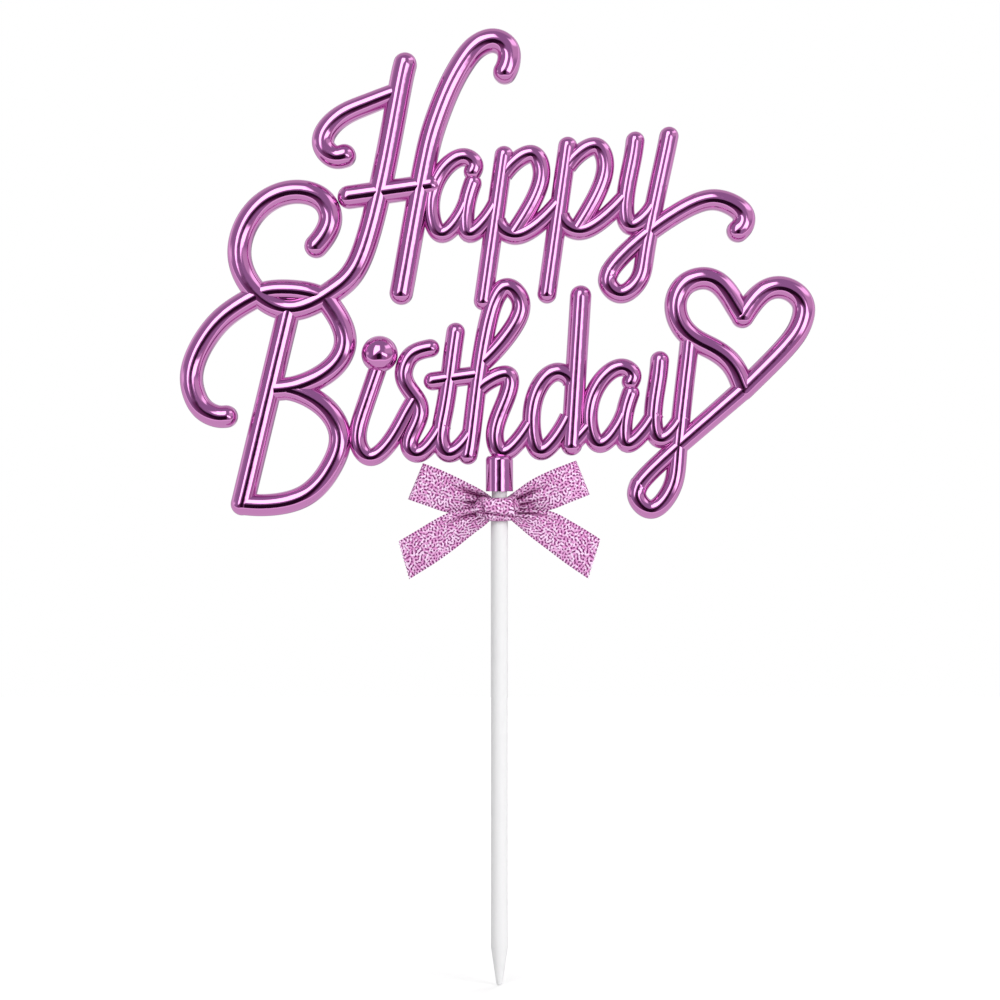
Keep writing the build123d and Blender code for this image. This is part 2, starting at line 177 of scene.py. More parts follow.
# studio round the object: white to the camera, plain to cloth, and to metal a dim room with white
# panels, a dark gap in front and a white sweep below and behind. Angles are in degrees, az and el as
# above, and a pair says where a soft edge starts and ends
studio = {
    "plain": (0.5, 0.5, 0.5),
    "room": (0.36, 0.29, 0.40),
    "sides": (0.60, 0.54, 0.59),
    "sidesEdge": (70, 115),
    "panels": {  # middle, half width and half height, slope, soft edge and glow
        "rightLow": (95, -20, 50, 12, 0.0, 14, (0.48, 0.34, 0.44)),
        "rightMiddle": (80, 16, 44, 13, 0.0, 14, (0.68, 0.6, 0.67)),
        "rightHigh": (80, 39, 34, 9, 0.0, 10, (1.5, 1.5, 1.5)),
        "left": (-88, 3, 17, 6, 0.0, 10, (1.0, 0.97, 1.0)),
        "right": (34, -4, 17, 7, -0.4, 7, (2.7, 2.7, 2.7)),
    },
    # the key panel has a slanted foot, whose el is given straight ahead, and a level top
    "key": {
        "az": -16, "half": 20, "soft": 8, "foot": 21, "footSlope": 0.8, "footEdge": (-4, 4),
        "topEdge": (57, 47), "glow": (2.7, 2.7, 2.7),
    },
    "gap": {  # its top slants down to both sides
        "low": (-38, -33), "high": (9, 0), "widening": 0.4,
        "shadeLeft": (-80, -20), "shadeRight": (26, 14), "shade": (0.13, 0.045, 0.11),
        "darkMiddle": -3, "darkEdge": (20, 8), "dark": (0.02, 0.006, 0.018),
    },
    "sweep": {  # turn and foldTurn go from -1 behind to 1 in front
        "colour": (0.77, 0.73, 0.77), "turn": (-0.9, 0.75), "elBehind": 40, "elFront": -37, "edge": (2, -2),
        "rim": (1.1, 1.05, 1.1), "rimEdge": (-5, -12),  # the lit front rim
        "far": (0.34, 0.3, 0.36), "foldTurn": (-0.6, -0.9), "foldWidth": 30, "foldLean": 40,  # unlit folds
    },
}
world = bpy.data.worlds.new("studio")
scene.world = world
world.use_nodes = True
tree = world.node_tree
tree.nodes.clear()
start = Wire(tree)
right, behind, up = start.add("ShaderNodeTexCoord", out="Generated").split()[:3]
front = -behind
degree = 180 / math.pi
az = right.math("ARCTAN2", right, front) * degree
el = up.math("ARCSINE", up) * degree
wide = abs(az)


# 1 within a half width, falling softly to 0 round it
def within(distance, half, soft):
    return abs(distance).rise(half + soft / 2, half - soft / 2)


def hangPanel(room, name):
    panelAz, panelEl, halfAz, halfEl, slope, soft, glow = studio["panels"][name]
    across = within(az - panelAz, halfAz, soft)
    upward = within(el - panelEl - (az - panelAz) * slope, halfEl, soft)
    return (across * upward).mixColour(room, glow)


room = wide.rise(*studio["sidesEdge"]).mixColour(studio["room"], studio["sides"])
for name in ("rightLow", "rightMiddle", "rightHigh", "left"):
    room = hangPanel(room, name)
key = studio["key"]
foot = (el - az * key["footSlope"] - key["foot"]).rise(*key["footEdge"])
across = within(az - key["az"], key["half"], key["soft"])
room = (across * foot * el.rise(*key["topEdge"])).mixColour(room, key["glow"])
plan = studio["gap"]
gap = el.rise(*plan["low"]) * (el + wide * plan["widening"]).rise(*plan["high"])
shaded = gap * az.rise(*plan["shadeLeft"]) * az.rise(*plan["shadeRight"])
room = shaded.mixColour(room, plan["shade"])
room = (gap * abs(az - plan["darkMiddle"]).rise(*plan["darkEdge"])).mixColour(room, plan["dark"])
room = hangPanel(room, "right")
plan = studio["sweep"]
fromEdge = el - front.rise(*plan["turn"]) * (plan["elFront"] - plan["elBehind"]) - plan["elBehind"]
wave = ((el + right * plan["foldLean"]) * (2 * math.pi / plan["foldWidth"])).sine() * 0.5 + 0.5
folds = front.rise(*plan["foldTurn"]) * wave
sweep = fromEdge.rise(*plan["rimEdge"]).mixColour(plan["rim"], folds.mixColour(plan["colour"], plan["far"]))
room = fromEdge.rise(*plan["edge"]).mixColour(room, sweep)
isGlossy = start.add("ShaderNodeLightPath", out="Is Glossy Ray")
isCamera = start.add("ShaderNodeLightPath", out="Is Camera Ray")
seen = isCamera.mixColour(isGlossy.mixColour(studio["plain"], room), white)
background = start.add("ShaderNodeBackground", inputs={"Color": seen, "Strength": 1.0})
background.into(tree.nodes.new("ShaderNodeOutputWorld"), "Surface")
print("studio: lit by", len(softboxes), "softboxes")

# floor: a pale sheet under the stick's point, lifted to white for the camera away from the point
floorPlan = {
    "level": -0.0602, "front": -0.3, "back": 0.9, "half": 0.6,
    "colour": (0.86, 0.86, 0.86), "roughness": 0.9,
    "lift": 0.75, "liftAtPoint": 0.3,  # of the whole lift
    "liftEdge": (0.03, 0.2),  # from the point, in metres
}
half, level = floorPlan["half"], floorPlan["level"]
nearEdge, farEdge = floorPlan["front"], floorPlan["back"]
corners = [
    (-half, nearEdge, level), (half, nearEdge, level), (half, farEdge, level), (-half, farEdge, level),
]
floorMesh = bpy.data.meshes.new("floor")
floorMesh.from_pydata(corners, [], [(0, 1, 2, 3)])
floor = bpy.data.objects.new("floor", floorMesh)
scene.collection.objects.link(floor)
paper, start, shader = newMaterial("paper", {
    "Base Color": (*floorPlan["colour"], 1),
    "Roughness": floorPlan["roughness"],
    "Emission Strength": floorPlan["lift"],
})
place = start.add("ShaderNodeTexCoord", out="Object")
distance = place.add("ShaderNodeVectorMath", {"operation": "LENGTH"}, {0: place}, out="Value")
lift = distance.rise(*floorPlan["liftEdge"]) * (1 - floorPlan["liftAtPoint"]) + floorPlan["liftAtPoint"]
isCamera = start.add("ShaderNodeLightPath", out="Is Camera Ray")
(isCamera * lift).mixColour(black, white).into(shader, "Emission Color")
dress(floor, paper)
floor.visible_glossy = False  # the studio's own sweep stands for it in the metal

# mirror plating in pink and purple, with faint dull patches and a slight wobble
plating = {
    "colour": (0.70, 0.30, 0.61),
    "roughness": 0.05, "patches": 0.05, "patchScale": 260.0, "patchDetail": 3.0,
    "wobble": 0.06, "wobbleDepth": 0.0004, "wobbleScale": 420.0, "wobbleDetail": 1.0,
}
plated, start, shader = newMaterial("plating", {"Metallic": 1.0, "Base Color": (*plating["colour"], 1)})
place = start.add("ShaderNodeTexCoord", out="Object")
inputs = {"Vector": place, "Scale": plating["patchScale"], "Detail": plating["patchDetail"]}
cloud = place.add("ShaderNodeTexNoise", inputs=inputs)
(cloud * plating["patches"] + plating["roughness"]).into(shader, "Roughness")
inputs = {"Vector": place, "Scale": plating["wobbleScale"], "Detail": plating["wobbleDetail"]}
wobble = place.add("ShaderNodeTexNoise", inputs=inputs)
bump = {"Strength": plating["wobble"], "Distance": plating["wobbleDepth"], "Height": wobble}
wobble.add("ShaderNodeBump", inputs=bump).into(shader, "Normal")
for node in ("i_dot", "stick_socket"):
    dress(nodes[node], plated)

# the script's rods: a half-round front on straight sides, with a flat back, in millimetres
script = {
    "xHeight": 18.0,  # of a small letter
    "baseLine": 64.7,  # z of the lower word's feet
    "shoulder": 0.25,  # how far behind the sign's plane the round front starts
    "back": 2.0,
    "ease": 0.05,  # what each level of branching takes off a rod's side
    "backEase": 0.002,  # what each further rod's back lies in front of the last one's
    "backLean": 0.011,  # and what a back leans over its length, so no two backs lie in one plane
    "samples": 2000,  # of a line, before it is cut into even steps
    "step": 0.3,  # from row to row
    "fewestRows": 4,
    "frontColumns": 33,
    "domeRows": 12,
    "domeEnd": 89,  # degrees
    "longRun": 0.8,  # a longer run, in x-heights, stays straight up to straightEnd from its corners
    "straightEnd": 0.24,
    "insideShare": 0.95,  # of a bend's radius, which the inside of a rod may use
    "leastBend": 1e-6,  # of a line that counts as straight
    "sharp": 35,  # degrees
}
smallRod, largeRod, heartRod = (4.5, 4.5), (5.5, 5.5), (5.3, 5.3)
smallA = [
    (smallRod, 2, "first", [(0.38, 0.66), (0.21, 0), (0.46, 0.01), (0.7, 0.41)]),
    (smallRod, 3, "first", [
        (0.38, 0.81), (0.43, 1), (0.11, 1), (-0.16, 0.6), (-0.16, 0), (0.11, 0), (0.31, 0.43),
    ]),
]
# each letter's foot, and its strokes: widths at even places along it, level of branching, domed ends,
# and the corners of the polygon that the stroke rounds off, in x-heights from the foot
letters = {
    "capitalH": {"node": "capital_h", "foot": (-1.62, 2.87), "strokes": [
        (largeRod, 0, "both", [
            (0.39, 2.19), (-0.22, -0.51), (-0.85, -1), (-1.3, -1), (-1.77, -0.59), (-1.77, -0.02),
            (-1.5, 0.38), (-1.16, 0.53), (-0.79, 0.53), (-0.57, 0.3), (-0.6, 0.03), (-0.77, -0.18),
        ]),
        (largeRod, 0, "both", [
            (1.69, 2.09), (1.76, 2.24), (1.71, 2.5), (1.42, 2.5), (1.25, 2.36), (1.07, 2.11),
            (0.87, 1.68), (0.7, 1.17), (0.34, -0.79),
        ]),
        ((4.7, 5.5), 1, "last", [
            (0.31, 1.83), (0.02, 1.725), (-0.3, 1.59), (-0.68, 1.37), (-0.68, 0.98), (-0.4, 1),
        ]),
        (largeRod, 1, "both", [(-0.34, 0.46), (0.72, 0.61)]),
        (heartRod, 1, "none", [(-1.55, -0.82), (-1.1, -0.71), (-0.65, -0.87)]),
    ]},
    "upperA": {"node": "upper_a", "foot": (-0.73, 2.85), "strokes": smallA},
    "firstP": {"node": "first_p", "foot": (-0.02, 2.85), "strokes": [
        (smallRod, 0, "both", [(0.08, 1.02), (-0.19, -0.87)]),
        (smallRod, 2, "none", [(-0.01, 0.17), (0.08, -0.01), (0.39, -0.03), (0.81, 0.42)]),
        (smallRod, 3, "none", [(0.08, 0.78), (0.3, 1.04), (0.59, 1.04), (0.55, 0.55), (0.2, 0)]),
    ]},
    "secondP": {"node": "second_p", "foot": (0.81, 2.94), "strokes": [
        (smallRod, 0, "both", [(0.08, 1.05), (-0.19, -0.87)]),
        (smallRod, 2, "none", [(-0.01, 0.15), (0.08, -0.04), (0.39, -0.06), (0.84, 0.4)]),
        (smallRod, 3, "none", [(0.08, 0.79), (0.3, 1.05), (0.59, 1.05), (0.55, 0.55), (0.2, -0.03)]),
    ]},
    "upperY": {"node": "upper_y", "foot": (1.7, 2.98), "strokes": [
        (smallRod, 0, "both", [
            (0.51, 1.14), (0.16, -0.57), (0.06, -0.91), (-0.31, -0.91), (-0.26, -0.62),
        ]),
        (smallRod, 1, "first", [(0.07, 1.08), (-0.1, -0.03), (0.14, -0.02), (0.32, 0.25)]),
        ((4.56, 4.54, 4.85, 5.4), 1, "last", [
            (-0.27, -0.69), (-0.25, -0.56), (0.26, -0.08), (0.8, 0.25), (1.02, 0.32), (1.24, 0.31),
            (1.45, 0.18), (1.52, 0.03), (1.41, -0.09),
        ]),
    ]},
    "capitalB": {"node": "capital_b", "foot": (-3.14, 0), "strokes": [
        (largeRod, 1, "last", [(0.4, 1.88), (-0.21, -0.67)]),
        (largeRod, 2, "none", [(0.85, 2.03), (1.13, 1.65), (1.13, 1.31), (0.79, 0.9), (0.21, 0.82)]),
        (largeRod, 3, "none", [
            (0.21, 0.82), (0.62, 0.82), (1.06, 0.4), (1.06, 0.05), (0.82, -0.44), (0.36, -0.7),
            (-0.21, -0.67),
        ]),
    ]},
    "flourish": {"node": "b_flourish", "foot": (-3.14, 0), "strokes": [
        (largeRod, 2, "first", [
            (-0.42, 0.47), (-0.63, 0.47), (-0.8, 0.65), (-0.88, 0.88), (-0.87, 1.12), (-0.74, 1.42),
            (-0.54, 1.69), (-0.3, 1.89), (0, 2.05),
        ]),
    ]},
    "letterI": {"node": "letter_i", "foot": (-1.71, 0), "strokes": [
        (smallRod, 3, "none", [(0.14, 1.14), (-0.14, 0.32), (-0.12, -0.06), (0.17, -0.06), (0.62, 0.71)]),
    ]},
    "letterR": {"node": "letter_r", "foot": (-1.1, 0), "strokes": [
        (smallRod, 2, "first", [
            (0.2, 1.36), (0.03, 1.325), (-0.09, 1.235), (-0.15, 1.08), (-0.145, 0.96), (-0.09, 0.845),
            (0, 0.73), (0.075, 0.6), (0.05, 0.45), (-0.06, 0.2), (-0.09, -0.02), (0.15, -0.01),
            (0.36, 0.37),
        ]),
    ]},
    "letterT": {"node": "letter_t", "foot": (-0.7, 0), "strokes": [
        (smallRod, 1, "first", [(0.13, 1.57), (-0.05, 0.33), (-0.08, -0.01), (0.16, -0.01), (0.34, 0.28)]),
        (smallRod, 2, "first", [(-0.17, 0.93), (0.45, 1.02)]),
    ]},
    "letterH": {"node": "letter_h", "foot": (-0.36, 0), "strokes": [
        ((4.55, 4.4), 0, "first", [
            (-0.05, -0.03), (0.31, 2.15), (0.65, 2.15), (0.63, 1.76), (0.37, 1.39), (0.15, 1.18),
        ]),
        (smallRod, 2, "none", [
            (0.1, 0.84), (0.33, 1.02), (0.61, 1), (0.31, 0.49), (0.29, 0), (0.51, 0), (0.76, 0.37),
        ]),
    ]},
    "letterD": {"node": "letter_d", "foot": (0.53, 0.03), "strokes": [
        ((5.0, 5.0), 0, "both", [(0.53, 2.01), (0.41, 0.07)]),
        (smallRod, 1, "none", [
            (0.42, 0.86), (0.36, 1.02), (0.09, 1.02), (-0.11, 0.64), (-0.11, -0.01), (0.12, -0.01),
            (0.37, 0.43),
        ]),
        (smallRod, 4, "none", [(0.42, 0.07), (0.65, 0.33)]),
    ]},
    "lowerA": {"node": "lower_a", "foot": (1.33, 0.11), "strokes": smallA},
    "lowerY": {"node": "lower_y", "foot": (2.09, 0.18), "strokes": [
        (smallRod, 0, "last", [
            (0.39, 1.28), (0.21, -0.38), (0.09, -0.92), (-0.32, -0.92), (-0.27, -0.6),
        ]),
        (smallRod, 1, "first", [(0, 1.02), (-0.11, -0.01), (0.13, 0), (0.29, 0.29)]),
        ((4.56, 4.54, 4.8, 5.06), 1, "none", [
            (-0.28, -0.67), (-0.26, -0.55), (0.28, -0.06), (1.12, 0.67),
        ]),
    ]},
    "openHeart": {"node": "heart", "foot": (3.17, 0.81), "strokes": [
        ((5.0, 5.3), 0, "both", [
            (0, 0), (0.56, 0.55), (0.74, 0.8), (0.81, 1.02), (0.78, 1.19), (0.6, 1.34), (0.36, 1.35),
            (0.16, 1.2), (0, 0.96),
        ]),
        (heartRod, 1, "none", [
            (0, 0.96), (-0.19, 1.27), (-0.35, 1.45), (-0.63, 1.475), (-0.86, 1.29), (-0.88, 0.99),
            (-0.73, 0.72), (-0.5, 0.6), (-0.27, 0.475), (-0.1, 0.31), (-0.03, 0.13), (0.02, 0.02),
        ]),
    ]},
}


# what a stroke's line goes through: the middle of each run of its polygon, or two points of a long run
def keyPoints(corners):
    corners = np.array(corners, dtype=float)
    keys = [corners[0]]
    for before, after in zip(corners, corners[1:]):
        run = after - before
        length = np.linalg.norm(run)
        if len(corners) > 2 and length <= script["longRun"]:
            keys.append((before + after) / 2)
        elif len(corners) > 2:
            end = run * script["straightEnd"] / length
            keys += [before + end, after - end]
    return np.array([*keys, corners[-1]])


# smooth curve through points, cut into even steps: cubic pieces with no kink and no jump in their
# bend, straight at both ends, over the square roots of the distances between the points
def smoothLine(keys):
    gap = np.sqrt(np.linalg.norm(np.diff(keys, axis=0), axis=1))
    place = np.concatenate([[0], gap.cumsum()])
    inner = np.arange(1, len(keys) - 1)
    matrix, change = np.eye(len(keys)), np.zeros((len(keys), 2))
    matrix[inner, inner - 1] = gap[:-1]
    matrix[inner, inner] = 2 * (gap[:-1] + gap[1:])
    matrix[inner, inner + 1] = gap[1:]
    change[inner] = 6 * np.diff(np.diff(keys, axis=0) / gap[:, None], axis=0)
    bend = np.linalg.solve(matrix, change)
    at = np.linspace(0, place[-1], script["samples"])
    i = np.clip(np.searchsorted(place, at, side="right") - 1, 0, len(keys) - 2)
    after = ((at - place[i]) / gap[i])[:, None]
    before = 1 - after
    cubic = (before**3 - before) * bend[i] + (after**3 - after) * bend[i + 1]
    points = keys[i] * before + keys[i + 1] * after + gap[i, None] ** 2 / 6 * cubic
    run = np.concatenate([[0], np.linalg.norm(np.diff(points, axis=0), axis=1).cumsum()])
    even = np.linspace(0, run[-1], max(script["fewestRows"], round(run[-1] / script["step"])))
    return np.stack([np.interp(even, run, points[:, 0]), np.interp(even, run, points[:, 1])], axis=1)


# a rod's points: the section carried along its line, and past a domed end shrunk on a quarter circle.
# On the inside of a bend the section stops short of the bend's centre, so it never folds over
def rodGrid(number, foot, widths, level, domed, corners):
    line = smoothLine((keyPoints(corners) + foot) * script["xHeight"])
    along = np.gradient(line, axis=0)
    length = np.linalg.norm(along, axis=1, keepdims=True)
    along = along / length
    turn = np.gradient(along, axis=0) / length
    bend = along[:, 0] * turn[:, 1] - along[:, 1] * turn[:, 0]
    width = np.interp(np.linspace(0, len(widths) - 1, len(line)), np.arange(len(widths)), widths)
    half = width / 2 - script["ease"] * level
    swing = np.radians(np.linspace(0, script["domeEnd"], script["domeRows"]))[1:]
    shrink, past = np.cos(swing), np.sin(swing)[:, None]
    still = np.zeros(len(swing))
    if domed in ("both", "first"):
        line = np.concatenate([(line[:1] - along[:1] * half[0] * past)[::-1], line])
        along = np.concatenate([np.repeat(along[:1], len(swing), axis=0), along])
        half = np.concatenate([(half[0] * shrink)[::-1], half])
        bend = np.concatenate([still, bend])
    if domed in ("both", "last"):
        line = np.concatenate([line, line[-1:] + along[-1:] * half[-1] * past])
        along = np.concatenate([along, np.repeat(along[-1:], len(swing), axis=0)])
        half = np.concatenate([half, half[-1] * shrink])
        bend = np.concatenate([bend, still])
    over = np.linspace(-np.pi / 2, np.pi / 2, script["frontColumns"])
    sideways = half[:, None] * np.concatenate([np.sin(over), [1, -1]])
    depth = script["shoulder"] - half[:, None] * np.concatenate([np.cos(over), [0, 0]])
    lean = np.linspace(0, script["backLean"], len(line))[:, None]
    depth[:, -2:] = script["back"] - script["backEase"] * number - lean
    space = script["insideShare"] / np.maximum(np.abs(bend), script["leastBend"])[:, None]
    inside = sideways * np.sign(bend)[:, None] > space
    sideways = np.where(inside, space * np.sign(bend)[:, None], sideways)
    x = line[:, :1] - sideways * along[:, 1:]
    z = line[:, 1:] + sideways * along[:, :1] + script["baseLine"]
    return np.stack([x, depth, z], axis=-1) / millimetres


# a letter: its rods as closed surfaces that run into each other, with flat caps at their ends
rodCount = 0
for name, plan in letters.items():
    points, faces, count = [], [], 0
    for stroke in plan["strokes"]:
        grid = rodGrid(rodCount, plan["foot"], *stroke)
        rodCount += 1
        index = np.arange(grid.shape[0] * grid.shape[1]).reshape(grid.shape[:2]) + count
        faces += faceCorners(np.concatenate([index, index[:, :1]], axis=1)).reshape(-1, 4).tolist()
        faces += [index[0].tolist(), index[-1, ::-1].tolist()]
        points.append(grid.reshape(-1, 3))
        count += index.size
    piece = newPiece(name, np.concatenate(points), faces)
    piece.data.set_sharp_from_angle(angle=math.radians(script["sharp"]))
    dress(piece, plated)
    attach(piece, "sign")
    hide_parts(plan["node"])
print("sign: drew", len(letters), "letters in plated rods")

# satin white stick, with faint streaks along it
stickPlan = {
    "light": (0.83, 0.83, 0.835), "dull": (0.7968, 0.7968, 0.8016), "specular": 0.4,
    "roughness": 0.36, "streaks": 0.12, "streakScale": (1800, 1800, 60), "streakDetail": 2.0,
}
stickPlastic, start, shader = newMaterial("stickPlastic", {"Specular IOR Level": stickPlan["specular"]})
place = start.add("ShaderNodeTexCoord", out="Object")
drawn = place.add("ShaderNodeMapping", inputs={"Vector": place, "Scale": stickPlan["streakScale"]})
inputs = {"Vector": drawn, "Scale": 1.0, "Detail": stickPlan["streakDetail"]}
streak = drawn.add("ShaderNodeTexNoise", inputs=inputs)
streak.mixColour(stickPlan["dull"], stickPlan["light"]).into(shader, "Base Color")
(streak * stickPlan["streaks"] + stickPlan["roughness"]).into(shader, "Roughness")
dress(nodes["stick"], stickPlastic)
print("stick: dressed")

# glittering ribbon: a maze of light metal threads on dark ground, with dotted selvedges
weave = {
    "light": (1.0, 0.72, 0.97),
    "middle": (0.78, 0.32, 0.65),
    "dark": (0.20, 0.027, 0.15),
    "paintedShade": (0.30, 0.025, 0.21),  # painted shade: what it leaves of the colour in creases, over the gathers and in the knot's furrows
    "pitch": 0.085,  # of the maze, in ribbon widths, as the dots and the selvedge
    "dots": 0.085,  # of the selvedge
    "selvedge": (0.06, 0.045),  # where it starts and ends, from the edge
    "waves": 2.0,  # of the maze, in each of its cells
    "threadEdge": (0.39, 0.52), "dotEdge": (-0.35, 0.35), "glintEdge": (0.2, 0.8),
    "glints": 17.0,  # across the ribbon
    "threadMetal": 0.1, "paintedShadeMetal": 0.6,
    "specular": 0.3, "roughness": 0.5, "glintGloss": 0.22,
    "bump": 0.5, "bumpDepth": 0.00015, "glintBump": 0.5,
}
ribbonCloth, start, shader = newMaterial("ribbonCloth", {"Specular IOR Level": weave["specular"]})
place = start.add("ShaderNodeUVMap")
inputs = {
    "Vector": place, "Scale": 1 / (weave["waves"] * weave["pitch"]), "Frequency": weave["waves"],
    "Anisotropy": 0.0,
}
maze = place.add("ShaderNodeTexGabor", {"gabor_type": "2D"}, inputs, out="Value")
inputs = {"Vector": place, "Scale": weave["glints"]}
cells = place.add("ShaderNodeTexVoronoi", {"voronoi_dimensions": "2D"}, inputs, out="Color")
glint = cells.split("ShaderNodeSeparateColor")[0]
along, across = place.split()[:2]
selvedge = across.least(1 - across).rise(*weave["selvedge"])
dot = (along * (2 * math.pi / weave["dots"])).sine().rise(*weave["dotEdge"])
thread = selvedge.add("ShaderNodeMix", inputs={0: selvedge, 2: maze.rise(*weave["threadEdge"]), 3: dot})
# partly the threads' own tone and partly painted glints: random cells of the threads lighter, up to near
# white
lightThread = glint.rise(*weave["glintEdge"]).mixColour(weave["middle"], weave["light"])
cloth = thread.mixColour(weave["dark"], lightThread)
# painted shade: the cloth darker, more saturated and more metallic where the shade attribute read here lies
paintedShade = start.add("ShaderNodeAttribute", {"attribute_name": "paintedShade"}, out="Fac")
kept = paintedShade.mixColour(white, weave["paintedShade"])
cloth.mixColour(cloth, kept, blend="MULTIPLY", share=1.0).into(shader, "Base Color")
(thread * weave["threadMetal"]).most(paintedShade * weave["paintedShadeMetal"]).into(shader, "Metallic")
(weave["roughness"] - glint * weave["glintGloss"]).into(shader, "Roughness")
height = thread + glint * weave["glintBump"]
bump = {"Strength": weave["bump"], "Distance": weave["bumpDepth"], "Height": height}
thread.add("ShaderNodeBump", inputs=bump).into(shader, "Normal")


# a surface from a grid of points (rows, columns, 3), joined round its rows and columns where it closes,
# with its own UV map, one longer where it closes, and how much painted shade each point gets
def gridPiece(name, points, uv, paintedShade, closed=False):
    index = np.arange(points.shape[0] * points.shape[1]).reshape(points.shape[:2])
    if closed:
        index = np.pad(index, (0, 1), mode="wrap")
    piece = newPiece(name, points, faceCorners(index).reshape(-1, 4).tolist())
    mesh = piece.data
    mesh.uv_layers.new(name="cloth").data.foreach_set("uv", faceCorners(uv).ravel())
    mesh.attributes.new("paintedShade", "FLOAT", "POINT").data.foreach_set("value", np.clip(paintedShade, 0, 1).ravel())
    return piece


# smooth curve through a short table: cubic pieces whose slopes are the mean of their neighbours'
def throughTable(table, at):
    x, y = np.array(table).T
    slope = np.gradient(y, x)
    i = np.clip(np.searchsorted(x, at) - 1, 0, len(x) - 2)
    h = x[i + 1] - x[i]
    t = np.clip((at - x[i]) / h, 0, 1)
    rest = 1 - t
    ends = y[i] * (1 + 2 * t) * rest**2 + y[i + 1] * (1 + 2 * rest) * t**2
    return ends + h * (slope[i] * t * rest**2 - slope[i + 1] * rest * t**2)


bow = {
    "middle": (0.0, 0.05155),  # x and z of the knot, in metres
    "width": 9.0,  # of the ribbon, in millimetres, as its thickness
    "thickness": 0.22,
    "columns": 72,
    "narrowing": 0.6,  # what a crease loses of its width on its way out
    "gatherReach": 6.5,  # of the gathers at the knot, in millimetres
    # painted shade over the gathers, fading with reach from the knot
    "gatherShade": 0.3,
}
across = np.linspace(0, 1, bow["columns"])  # from the lower edge to the upper


# places ribbon points: reach away from the knot, rise across the ribbon, depth to the back
def placeOnBow(angle, reach, rise, depth):
    away = np.array([math.cos(math.radians(angle)), math.sin(math.radians(angle))])
    upward = np.array([-away[1], away[0]]) * (1 if away[0] > 0 else -1)
    x = (reach * away[0] + rise * upward[0]) / millimetres + bow["middle"][0]
    z = (reach * away[1] + rise * upward[1]) / millimetres + bow["middle"][1]
    return np.stack([x, depth / millimetres, z], axis=-1)


# creases: furrows that run out from the knot, each a bell across the ribbon that dies out with reach,
# and a wave of gathers at the knot. Gives their depth, and the painted shade of the furrows' bells,
# with a fainter painted shade over the gathers
def creases(plan, reach):
    depth, shade = 0 * reach, 0 * reach
    fromKnot = np.maximum(reach - plan["from"], 0)
    for first, last, half, length, drop in plan["creases"]:
        run = fromKnot / length
        middle = first + (last - first) * np.minimum(run, 1)
        narrow = half * (1 - bow["narrowing"] * np.minimum(run, 1))
        furrow = bell(across - middle, narrow) * np.exp(-(run**4))
        depth, shade = depth + drop * furrow, np.maximum(shade, furrow)
    ridge = np.sin(2 * np.pi * (plan["folds"] * across + plan["foldShift"]))
    fade = bell(fromKnot, bow["gatherReach"])
    return depth + plan["foldDepth"] * fade * ridge, np.maximum(shade, bow["gatherShade"] * fade)


# height across the ribbon at each reach, between the curves of its two edges
def riseBetween(plan, reach):
    upper, lower = throughTable(plan["upper"], reach), throughTable(plan["lower"], reach)
    return lower + (upper - lower) * across


def ribbonUV(path):
    return np.stack([path / bow["width"], np.broadcast_to(across, path.shape)], axis=-1)


def thicken(piece):
    thick = piece.modifiers.new("cloth", "SOLIDIFY")
    thick.thickness = bow["thickness"] / millimetres
    thick.offset = 0


def finishRibbon(piece, node):
    dress(piece, ribbonCloth)
    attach(piece, "bow")
    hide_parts(node)


tails = {
    "tailLeft": {
        "node": "bow_tail_left", "angle": 210.5, "from": 1.5, "upperEnd": 24.2, "lowerEnd": 26.5,
        "upper": [(1.5, 1.3), (4.7, 3.4), (8.5, 4.9), (12.0, 5.35), (19.5, 5.4), (26.5, 5.35)],
        "lower": [(1.5, -0.6), (4.0, -1.4), (8.3, -2.0), (13.0, -2.7), (17.8, -3.2), (26.5, -3.5)],
        "depth": [(1.5, -2.7), (6.0, -2.6), (12.0, -1.9), (19.0, -1.7), (26.5, -1.1)],
        "creases": [(0.6, 0.7, 0.16, 9.5, 0.9), (0.3, 0.42, 0.08, 6.0, 0.5), (0.9, 0.95, 0.06, 8.0, 0.4)],
        "folds": 2.2, "foldShift": 0.1, "foldDepth": 0.3,
    },
    "tailRight": {
        "node": "bow_tail_right", "angle": 328.5, "from": 1.5, "upperEnd": 23.9, "lowerEnd": 26.2,
        "upper": [(1.5, 0.9), (3.7, 1.8), (7.0, 4.2), (11.3, 5.9), (16.3, 6.25), (26.2, 6.2)],
        "lower": [(1.5, -0.4), (4.6, -0.95), (9.0, -1.7), (14.3, -2.25), (20.0, -2.8), (26.2, -3.1)],
        "depth": [(1.5, -2.7), (6.0, -2.6), (12.0, -2.0), (19.0, -1.6), (26.2, -1.3)],
        "creases": [
            (0.72, 0.82, 0.13, 8.5, 0.8), (0.4, 0.55, 0.08, 6.0, 0.5), (0.93, 0.97, 0.05, 9.0, 0.4),
        ],
        "folds": 2.4, "foldShift": 0.45, "foldDepth": 0.3,
    },
}
# the fray is two waves across the cut: depth, waves and shift
tailCut = {"rows": 130, "curl": 0.25, "fray": [(0.1, 11, 0.6), (0.08, 23, 0)]}
# a tail: rows run from the knot to a slanted, slightly frayed cut, between the two edges' curves
for name, plan in tails.items():
    fray = sum(size * np.sin(2 * np.pi * waves * across + shift) for size, waves, shift in tailCut["fray"])
    end = plan["lowerEnd"] + (plan["upperEnd"] - plan["lowerEnd"]) * across + fray
    share = np.linspace(0, 1, tailCut["rows"])[:, None]
    reach = plan["from"] + (end - plan["from"]) * share
    curl = tailCut["curl"] * (2 * across - 1) ** 2 * share
    furrow, shade = creases(plan, reach)
    depth = throughTable(plan["depth"], reach) + furrow + curl
    points = placeOnBow(plan["angle"], reach, riseBetween(plan, reach), depth)
    piece = gridPiece(name, points, ribbonUV(reach), shade)
    thicken(piece)
    finishRibbon(piece, plan["node"])

